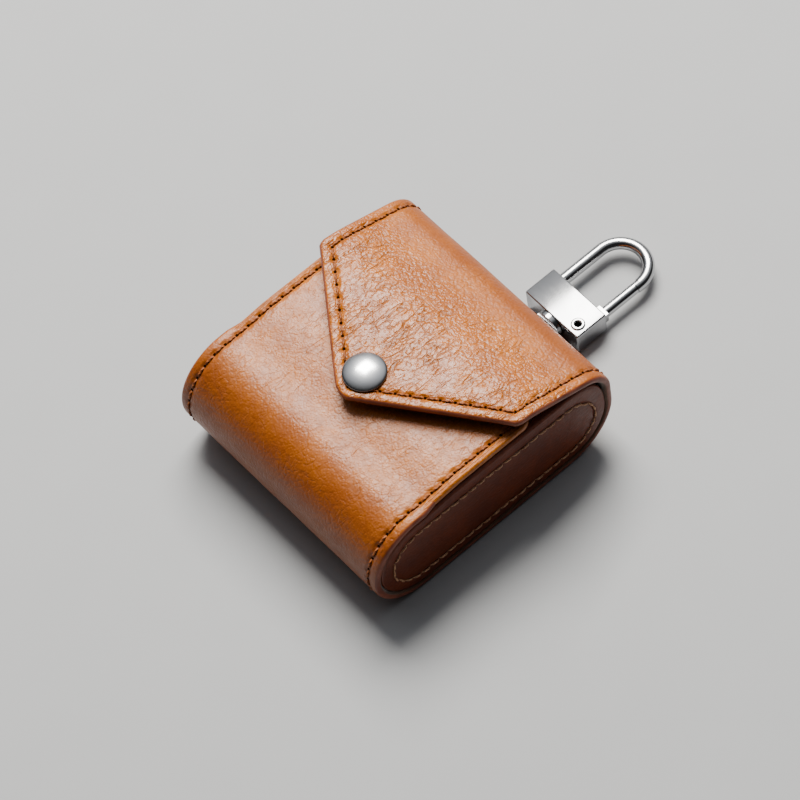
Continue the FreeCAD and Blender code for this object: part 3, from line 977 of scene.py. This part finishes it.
def make_seam_threads():
    spots = seam_spots()
    cap_low, cap_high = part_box("snap_cap")
    cap_s = tip_s - ((cap_low.y + cap_high.y) / 2 - flap_tip_y)
    clear = (cap_high.x - cap_low.x) / 2 - cap_cover
    rows = {
        "wrap_stitches_left": [m for s, y, m in spots if s < joint_s and y < 0],
        "wrap_stitches_right": [m for s, y, m in spots if s < joint_s and y > 0],
        "flap_stitches": [m for s, y, m in spots if s >= joint_s and math.hypot(s - cap_s, y) > clear],
    }
    made = []
    for name, places in rows.items():
        row = stitch_row(name, seam_stitch, places, brown_thread)
        bend(row, fold_form)
        made.append(row)
    for row, side in zip(made, ("left", "right")):
        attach(row, "shell")
        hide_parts("wrap_thread_" + side)
    fold_with_flap(made[2])
    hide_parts("flap_thread")
    return made


threads = make_seam_threads()
print("stitch rows:", [len(row.data.polygons) for row in threads])

# %% [markdown]
# ## Side panels
#
# Each side is a stiff stadium-shaped panel, leather over board, with a painted bead for an edge. It
# starts as a filled circle whose two halves are moved apart, gets its thickness, and its rim is rounded.
# Then its outer face is inset again and again: flat for the bead, down and up for the stitched groove,
# and a little higher each time for the soft middle.

# %% The plate of a side panel
panel_radius = (panel_high.z - panel_low.z) / 2
panel_wall = panel_high.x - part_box("side_board_right")[0].x
panel_round = 0.62 * mm
panel_cut = 1.5 * mm
# (inset, rise) steps from the rounded rim to the middle
panel_steps = [
    (0.6, 0.03), (0.8, 0.02), (0.55, -0.04), (0.25, -0.10), (0.2, -0.05), (0.2, 0.05), (0.25, 0.10),
    (0.5, 0.05), (1.0, 0.05), (1.4, 0.04), (1.4, 0.02),
]


def turned_to_side(hand):
    """Takes a plate in XY, with Z out of the case, to the case's side: hand is 1 for right, -1 for left."""
    basis = Matrix(((0, 0, hand), (hand, 0, 0), (0, 1, 0))).to_4x4()
    return Matrix.Translation((hand * half_width, 0, end_radius)) @ basis


def stadium(name, radius):
    take()
    bpy.ops.mesh.primitive_circle_add(vertices=98, radius=radius, fill_type="NGON")
    piece = settle(bpy.context.object, name)
    edit(piece)
    for hand in (-1, 1):
        pick(piece, "VERT", lambda v: v.co.x * hand > 0)
        bpy.ops.transform.translate(value=(hand * end_y, 0, 0))
    take(piece)
    return piece


def panel_plate(name):
    """The rounded, inset plate of one side, in XY with its outer face up."""
    piece = stadium(name, panel_radius)
    finish_with(piece, "SOLIDIFY", thickness=panel_wall, offset=-1)
    edit(piece)
    pick(piece, "EDGE", is_rim)
    bpy.ops.mesh.bevel(offset=panel_round, segments=5, profile=0.5)
    pick(piece, "FACE", lambda f: f.normal.z > 0.99)
    for inset, rise_up in panel_steps:
        bpy.ops.mesh.inset(thickness=inset * mm, depth=rise_up * mm)
    for column in range(-12, 13):
        score((column * panel_cut, 0, 0), (1, 0, 0))
    take(piece)
    return piece


print("side panel", round(panel_wall / mm, 2), "mm thick,", len(panel_steps), "steps to its middle")

# %% [markdown]
# The front panel rises behind the step and the flap's crown bulges at the top corner. The side's rim
# follows both, so that no gap opens between the side and the leather round it. Only a narrow belt along
# the rim moves.

# %% The sides' rim
rim_lift = 0.72 * mm
crown_push = 0.8 * mm
lift_run = 7.8 * mm
belt = (3.4 * mm, 0.7 * mm)


def soft_step(value, low, high):
    """0 below low, 1 above high, and smooth between."""
    share = min(1, max(0, (value - low) / (high - low)))
    return share * share * (3 - 2 * share)


def lift_rim(piece, hand):
    for point in piece.data.vertices:
        along = hand * point.co.x
        out = Vector((along - min(end_y, max(-end_y, along)), point.co.y))
        near_rim = soft_step(out.length, panel_radius - belt[0], panel_radius - belt[1])
        if along > end_y and out.y > 0:
            angle = math.atan2(out.y, out.x)
            push = rim_lift * math.sin(angle) ** 2 + crown_push * math.sin(2 * angle) ** 2
        else:
            push = rim_lift * soft_step(along, step_y, step_y + lift_run) * (out.y > 0)
        move = out.normalized() * push * near_rim if out.length else Vector((0, 0))
        point.co.x += hand * move.x
        point.co.y += move.y


def make_side(hand, side):
    piece = panel_plate("side_panel_" + side)
    lift_rim(piece, hand)
    # the sides get the cognac leather with a painted shade
    for finish in (shaded_cognac, edge_paint):
        piece.data.materials.append(finish)
    for face in piece.data.polygons:
        face.material_index = 0 if face.normal.z > 0.86 else 1
    deepest = sum(step[1] for step in panel_steps) * mm
    piece.data.transform(turned_to_side(hand) @ Matrix.Translation((0, 0, -deepest)))
    smooth(piece, 60)
    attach(piece, "shell")
    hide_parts("side_leather_" + side, "side_board_" + side)
    return piece


print("rim lifted", round(rim_lift / mm, 2), "mm behind the step")

# %% [markdown]
# The side's seam has a finer and lighter thread, and its stitches sway and tilt a little more than those
# of the wrap. They are placed round the stadium in the plate's own plane, then turned to the side.

# %% The sides and their stitches
side_seam_inset = 3.0 * mm
side_pitch = 2.3 * mm
side_sway = 0.13 * mm
side_tilt = 9


def stadium_spots(radius, pitch):
    """Stitch places round a stadium, in the plate's own plane."""
    straight = 2 * end_y
    total = 2 * straight + 2 * math.pi * radius
    count = round(total / pitch)
    spots = []
    for index in range(count):
        way = total * (index + 0.5) / count
        sway = radius + random.uniform(-side_sway, side_sway)
        tilt = math.radians(random.uniform(-side_tilt, side_tilt))
        second = way > total / 2
        part = way - total / 2 if second else way
        if part < straight:
            place = Vector((end_y - part, sway, 0))
            angle = math.pi
        else:
            turn = (part - straight) / radius
            place = Vector((-end_y - sway * math.sin(turn), sway * math.cos(turn), 0))
            angle = math.pi + turn
        spot = Matrix.Translation(place) @ Matrix.Rotation(angle + tilt, 4, "Z")
        spots.append(Matrix.Rotation(math.pi, 4, "Z") @ spot if second else spot)
    return spots


side_stitch = make_stitch(length=2.1 * mm, width=0.5 * mm, dip=0.22 * mm)
for hand, side in ((1, "right"), (-1, "left")):
    panel = make_side(hand, side)
    spots = stadium_spots(panel_radius - side_seam_inset, side_pitch)
    turned = [turned_to_side(hand) @ spot for spot in spots]
    row = stitch_row("side_stitches_" + side, side_stitch, turned, tan_thread)
    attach(row, "shell")
    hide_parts("side_thread_" + side)
    print(side, "panel:", len(panel.data.polygons), "faces,", len(spots), "stitches")

# %% [markdown]
# ## Side linings
#
# Inside, each side panel is covered by a suede piece whose edge is turned in and glued to the wrap, so
# it is a plate with a low wall along its rim. The wall stops where the front panel is loose.

# %% Side linings
lining_low, lining_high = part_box("side_lining_right")
lining_wall = 0.6 * mm
flange = lining_high.x - lining_low.x - lining_wall


def make_side_lining(hand, side):
    piece = stadium("side_suede_" + side, panel_radius)
    edit(piece)
    bpy.ops.mesh.extrude_region_move(TRANSFORM_OT_translate={"value": (0, 0, -lining_wall)})
    pick(piece, "FACE", lambda f: f.normal.z < -0.5 or f.calc_center_median().z < -lining_wall + tiny)
    bpy.ops.mesh.inset(thickness=lining_wall, depth=0)
    reach = panel_radius - lining_wall

    def on_flange(face):
        place = face.calc_center_median()
        if place.z > -lining_wall + tiny or abs(face.normal.z) < 0.5:
            return False
        out = math.hypot(max(abs(place.x) - end_y, 0), place.y)
        loose = hand * place.x > step_y and place.y > 0
        return out > reach - 0.2 * mm and not loose

    pick(piece, "FACE", on_flange)
    bpy.ops.mesh.extrude_region_move(TRANSFORM_OT_translate={"value": (0, 0, -flange)})
    bpy.ops.mesh.select_all(action="SELECT")
    bpy.ops.mesh.normals_make_consistent(inside=False)
    take(piece)
    round_off(piece, 0.12 * mm, 2, 50)
    shift = Matrix.Translation((0, 0, -(half_width - lining_high.x)))
    piece.data.transform(turned_to_side(hand) @ shift)
    piece.data.materials.append(suede)
    smooth(piece, 40)
    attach(piece, "shell")
    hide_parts("side_lining_" + side)
    return piece


for hand, side in ((1, "right"), (-1, "left")):
    make_side_lining(hand, side)
print("side linings made, flange", round(flange / mm, 1), "mm")

# %% [markdown]
# ## The snap
#
# Snap parts are pressed sheet metal, round about one axis, so each is a profile spun about it: the
# domed cap whose edge rolls under, the socket with its spring ring, and the stud with its waist.

# %% Spinning a profile
up = (0, 0, 1)


def spun(name, profile, centre, closed=False, steps=72, bevel=0, axis=up):
    """A profile of (radius, height) points, in mm, spun about an axis through centre."""
    mesh = bpy.data.meshes.new(name)
    points = [(radius * mm, 0, height * mm) for radius, height in profile]
    edges = [(index, index + 1) for index in range(len(points) - 1)]
    if closed:
        edges.append((len(points) - 1, 0))
    mesh.from_pydata(points, edges, [])
    piece = bpy.data.objects.new(name, mesh)
    bpy.context.scene.collection.objects.link(piece)
    edit(piece)
    bpy.ops.mesh.spin(steps=steps, angle=2 * math.pi, center=(0, 0, 0), axis=up)
    bpy.ops.mesh.select_all(action="SELECT")
    bpy.ops.mesh.remove_doubles(threshold=0.002 * mm)
    bpy.ops.mesh.normals_make_consistent(inside=False)
    take(piece)
    if bevel:
        round_off(piece, bevel, 3, 40)
    turn = Vector(up).rotation_difference(Vector(axis)).to_matrix().to_4x4()
    piece.data.transform(Matrix.Translation(centre) @ turn)
    smooth(piece, 45)
    return piece


def dome(radius, low, high, steps):
    """Profile points of a shallow dome from its rim up to its top on the axis."""
    rise_up = high - low
    ball = (radius ** 2 + rise_up ** 2) / (2 * rise_up)
    half = math.asin(radius / ball)
    angles = [half * (1 - step / steps) for step in range(steps + 1)]
    return [(ball * math.sin(angle), high - ball * (1 - math.cos(angle))) for angle in angles]


print("profiles are spun about", up, "and then turned to their axis")

# %% Snap cap, socket and stud
cap_low, cap_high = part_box("snap_cap")
flap_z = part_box("flap_leather")[1].z
snap_y = (cap_low.y + cap_high.y) / 2
cap_top = (cap_high.z - flap_z) / mm
cap_profile = [(0, 0.02), (3.9, 0.02), (4.2, 0.06), (4.42, 0.2), (4.5, 0.4), (4.46, 0.56)]
cap_profile += dome(4.36, 0.66, cap_top, 14)
snap_cap = spun("snap_dome", cap_profile, (0, snap_y, flap_z))
snap_cap.data.materials.append(cap_nickel)
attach(snap_cap, "flap")
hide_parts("snap_cap")

socket_low, socket_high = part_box("snap_socket")
deep = (socket_high.z - socket_low.z) / mm
spring_ring = [(2.15, deep - 0.8), (2.15, 0.35), (2.3, 0.1), (2.6, 0), (3.1, 0.05), (3.4, 0.35)]
plate = [
    (3.4, deep - 0.6), (3.55, deep - 0.35), (3.85, deep - 0.3), (4.0, deep - 0.2), (3.95, deep - 0.05),
    (3.8, deep), (0, deep),
]
dimple = [(0, deep - 0.3), (0.8, deep - 0.3), (1.1, deep - 0.5), (1.9, deep - 0.5)]
socket = spun("snap_ring", dimple + spring_ring + plate, (0, snap_y, socket_low.z), bevel=0.04 * mm)
socket.data.materials.append(plated)
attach(socket, "flap")
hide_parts("snap_socket")

stud_low, stud_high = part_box("snap_stud")
tall = (stud_high.z - stud_low.z) / mm
stud_foot = [(0, 0), (3.2, 0), (3.38, 0.08), (3.4, 0.2), (3.3, 0.3), (2.4, 0.3), (1.9, 0.34)]
waist = [(1.5, 0.5), (1.46, 0.62), (1.56, 0.78), (1.6, 0.95)]
stud_head = [(1.5, tall - 0.22), (1.25, tall - 0.06), (0.9, tall), (0.7, tall - 0.08), (0.55, tall - 0.3)]
stud_profile = stud_foot + waist + stud_head + [(0, tall - 0.34)]
stud = spun("snap_post", stud_profile, (0, snap_y, stud_low.z), bevel=0.03 * mm)
stud.data.materials.append(plated)
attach(stud, "shell")
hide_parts("snap_stud")
print("snap: cap", round(cap_top, 2), "mm high, socket", round(deep, 2), "stud", round(tall, 2))

# %% [markdown]
# ## The strap behind the top end
#
# A short strap goes down the top end, round the swivel eye's bar and back up, and a rivet holds its two
# layers to the case. It is cut, rounded, painted and bent like the big pieces, along a line of its own.

# %% The strap's line
tab_low, tab_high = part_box("hook_tab")
strap_wall = 0.8 * mm
strap_gap = 0.1 * mm
layer_gap = 0.03 * mm
lean_angle = 35
lean_radius = 3 * mm
strap_cut = 0.35 * mm
bar_place = Vector(frame["joints"][1]["pos_m"])
strap_x = (tab_low.x + tab_high.x) / 2
strap_width = tab_high.x - tab_low.x


def strap_line():
    """Down the top end, round the bar, and up again with a lean that brings the two layers together."""
    middle = strap_wall / 2
    fold = bar_place.y - (top_y + strap_gap) - middle
    back_run = 2 * fold - strap_wall - layer_gap
    lean = math.radians(lean_angle)
    slant = (back_run - 2 * lean_radius * (1 - math.cos(lean))) / math.sin(lean)
    climb = 2 * lean_radius * math.sin(lean) + slant * math.cos(lean)
    drop = tab_high.z - bar_place.z
    start = (0, top_y + strap_gap + middle, tab_high.z)
    return walk(start, -90, [
        (drop, 0), (fold, 180), (lean_radius, lean_angle), (slant, 0), (lean_radius, -lean_angle),
        (drop - climb, 0),
    ])


print("strap", round(strap_width / mm, 2), "mm wide,", round(strap_wall / mm, 2), "mm thick")

# %% The strap


def make_strap():
    points, strap_marks = strap_line()
    line = form("strap_form", points)
    length = strap_marks[-1]
    take()
    bpy.ops.mesh.primitive_plane_add(size=1, location=(length / 2, 0, 0))
    piece = bpy.context.object
    piece.scale = (length, strap_width, 1)
    settle(piece, "hook_strap")
    finish_with(piece, "SOLIDIFY", thickness=strap_wall, offset=0)
    edit(piece)
    pick(piece, "EDGE", is_rim)
    bpy.ops.mesh.bevel(offset=0.3 * mm, segments=4, profile=0.5)
    steps = math.ceil(length / strap_cut)
    for step in range(1, steps):
        score((length * step / steps, 0, 0), (1, 0, 0))
    for column in (-0.35, -0.2, 0, 0.2, 0.35):
        score((0, column * strap_width, 0), (0, 1, 0))
    take(piece)
    # the strap gets the cognac leather with a painted shade
    for finish in (shaded_cognac, edge_paint):
        piece.data.materials.append(finish)
    for face in piece.data.polygons:
        face.material_index = 0 if abs(face.normal.z) > 0.8 else 1
    bend(piece, line)
    piece.data.transform(Matrix.Translation((strap_x, 0, 0)))
    smooth(piece, 50)
    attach(piece, "shell")
    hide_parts("hook_tab")
    return piece


strap = make_strap()
strap_box = [tuple(round(c / mm, 2) for c in corner) for corner in (strap.bound_box[0], strap.bound_box[6])]
print("strap:", strap_box, "CAD", [round(c / mm, 2) for c in (*tab_low, *tab_high)])

# %% [markdown]
# ## Rivets
#
# The strap's rivet has a low domed head outside. The gate's rivet is a hollow eyelet with rolled lips,
# so its profile is a closed ring that is spun without reaching the axis.

# %% Rivets
rivet_low, rivet_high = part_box("tab_rivet")
rivet_z = (rivet_low.z + rivet_high.z) / 2
reach = (rivet_high.y - rivet_low.y) / mm
rivet_profile = [(0, 0), (1.1, 0), (1.1, 0.4), (0.75, 0.4), (0.75, reach - 0.5), (1.36, reach - 0.5)]
rivet_profile += [(1.4, reach - 0.4)] + dome(1.34, reach - 0.3, reach, 6)
rivet_place = (strap_x, rivet_low.y, rivet_z)
strap_rivet = spun("strap_rivet", rivet_profile, rivet_place, steps=40, axis=(0, 1, 0))
strap_rivet.data.materials.append(nickel)
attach(strap_rivet, "shell")
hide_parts("tab_rivet")

eyelet_low, eyelet_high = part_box("gate_rivet")
eyelet_place = ((eyelet_low.x + eyelet_high.x) / 2, (eyelet_low.y + eyelet_high.y) / 2, eyelet_low.z)
tall = (eyelet_high.z - eyelet_low.z) / mm
lip = [(0.66, 0.24), (0.7, 0.1), (0.84, 0), (1.15, 0), (1.38, 0.06), (1.5, 0.18), (1.46, 0.3), (0.95, 0.3)]
eyelet_profile = lip + [(radius, tall - height) for radius, height in reversed(lip)]
eyelet = spun("gate_eyelet", eyelet_profile, eyelet_place, closed=True, steps=48)
eyelet.data.materials.append(nickel)
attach(eyelet, "clip")
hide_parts("gate_rivet")
print("eyelet", round(tall, 2), "mm long")

# %% [markdown]
# ## CAD nodes that stay
#
# The hook, its block, the gate, the swivel and the spring already have their true machined shape, so
# they stay as they are and only get their metal.

# %% Finishes for the CAD nodes
node_finish = {
    "clip_block": block_nickel_painted_shade, "hook_bow": nickel, "gate": nickel, "swivel_eye": nickel,
    "swivel_post": nickel, "gate_spring": wire_steel, "stud_rivet": plated,
}
for node, finish in node_finish.items():
    for material_slot in frame["nodes"][node].material_slots:
        material_slot.material = finish
print("CAD nodes with a new finish:", len(node_finish))

# %% [markdown]
# ## Light, floor and camera
#
# The case lies on a plain pale floor. A wide, slightly warm softbox hangs where a flat face mirrors it to
# the camera: that gives waxed leather its pale haze on the flats, and leaves the bends their full
# colour. The camera looks down from the front right with a long lens.

# %% Camera
view_azimuth = math.radians(57.80)
view_elevation = math.radians(58.30)
view_roll = math.radians(-10.65)
view_target = Vector((0.745, 0.416, 12.4)) * mm
view_distance = 1010.5 * mm
# azimuth 0 is in front of the case, at -Y, and 90 is at +X
flat = math.cos(view_elevation)
back = Vector((math.sin(view_azimuth) * flat, -math.cos(view_azimuth) * flat, math.sin(view_elevation)))
camera_data = bpy.data.cameras.new("camera")
camera_data.lens = 231.14
camera_data.sensor_width = 36
camera_data.clip_start = 0.05
camera = bpy.data.objects.new("camera", camera_data)
bpy.context.scene.collection.objects.link(camera)
aim = (-back).to_track_quat("-Z", "Y").to_matrix().to_4x4() @ Matrix.Rotation(view_roll, 4, "Z")
camera.matrix_world = Matrix.Translation(view_target + back * view_distance) @ aim
bpy.context.scene.camera = camera
print("camera", round(view_distance / mm), "mm away")

# %% Floor
take()
bpy.ops.mesh.primitive_plane_add(size=6, location=(0, 0, 0))
floor = settle(bpy.context.object, "floor")
paper, tree, shader = new_finish("pale_paper")
fleck = noise(tree, object_place(tree), 60, 3.0)
grey = blend_colours(tree, fleck, (0.366, 0.376, 0.39), (0.386, 0.396, 0.41))
tree.links.new(grey, shader.inputs["Base Color"])
shader.inputs["Roughness"].default_value = 0.85
floor.data.materials.append(paper)
print("floor laid")

# %% Lights
key_way = Vector((-0.443, 0.35, 0.825)).normalized()
warm = (1.0, 0.96, 0.89)
room_cool = (0.95, 0.97, 1.0, 1)
room_dim = 0.03
room_bright = 0.9


def softbox(name, out, distance, width, height, power):
    """A rectangle of light that faces the case from the direction out, with its width along X."""
    light = bpy.data.lights.new(name, "AREA")
    light.shape = "RECTANGLE"
    light.size = width
    light.size_y = height
    light.energy = power
    light.color = warm
    lamp = bpy.data.objects.new(name, light)
    across = (Vector((1, 0, 0)) - out * out.x).normalized()
    turn = Matrix((across, out.cross(across), out)).transposed().to_4x4()
    lamp.matrix_world = Matrix.Translation(out * distance) @ turn
    bpy.context.scene.collection.objects.link(lamp)


def studio_world():
    """A dim room that grows light towards the key light, so that metal shows soft gradients."""
    world = bpy.data.worlds.new("studio")
    bpy.context.scene.world = world
    world.use_nodes = True
    tree = world.node_tree
    back_light = tree.nodes["Background"]
    back_light.inputs["Color"].default_value = room_cool
    way = add(tree, "TexCoord").outputs["Generated"]
    towards = add(tree, "VectorMath", ((0, way), (1, key_way)), operation="DOT_PRODUCT").outputs["Value"]
    tree.links.new(band(tree, towards, 0.45, 1.0, room_dim, room_bright), back_light.inputs["Strength"])


softbox("key_softbox", key_way, distance=0.9, width=0.46, height=0.56, power=24.0)
studio_world()
print("lights placed")

# %% [markdown]
# ## Clear up and finish
#
# The helpers that were only tools, such as the fold lines and the single stitches, are removed, so that
# nothing but the case is left.

# %% Clear up, finish
for helper in (fold_form, bpy.data.objects["strap_form"], seam_stitch, side_stitch):
    bpy.data.objects.remove(helper)
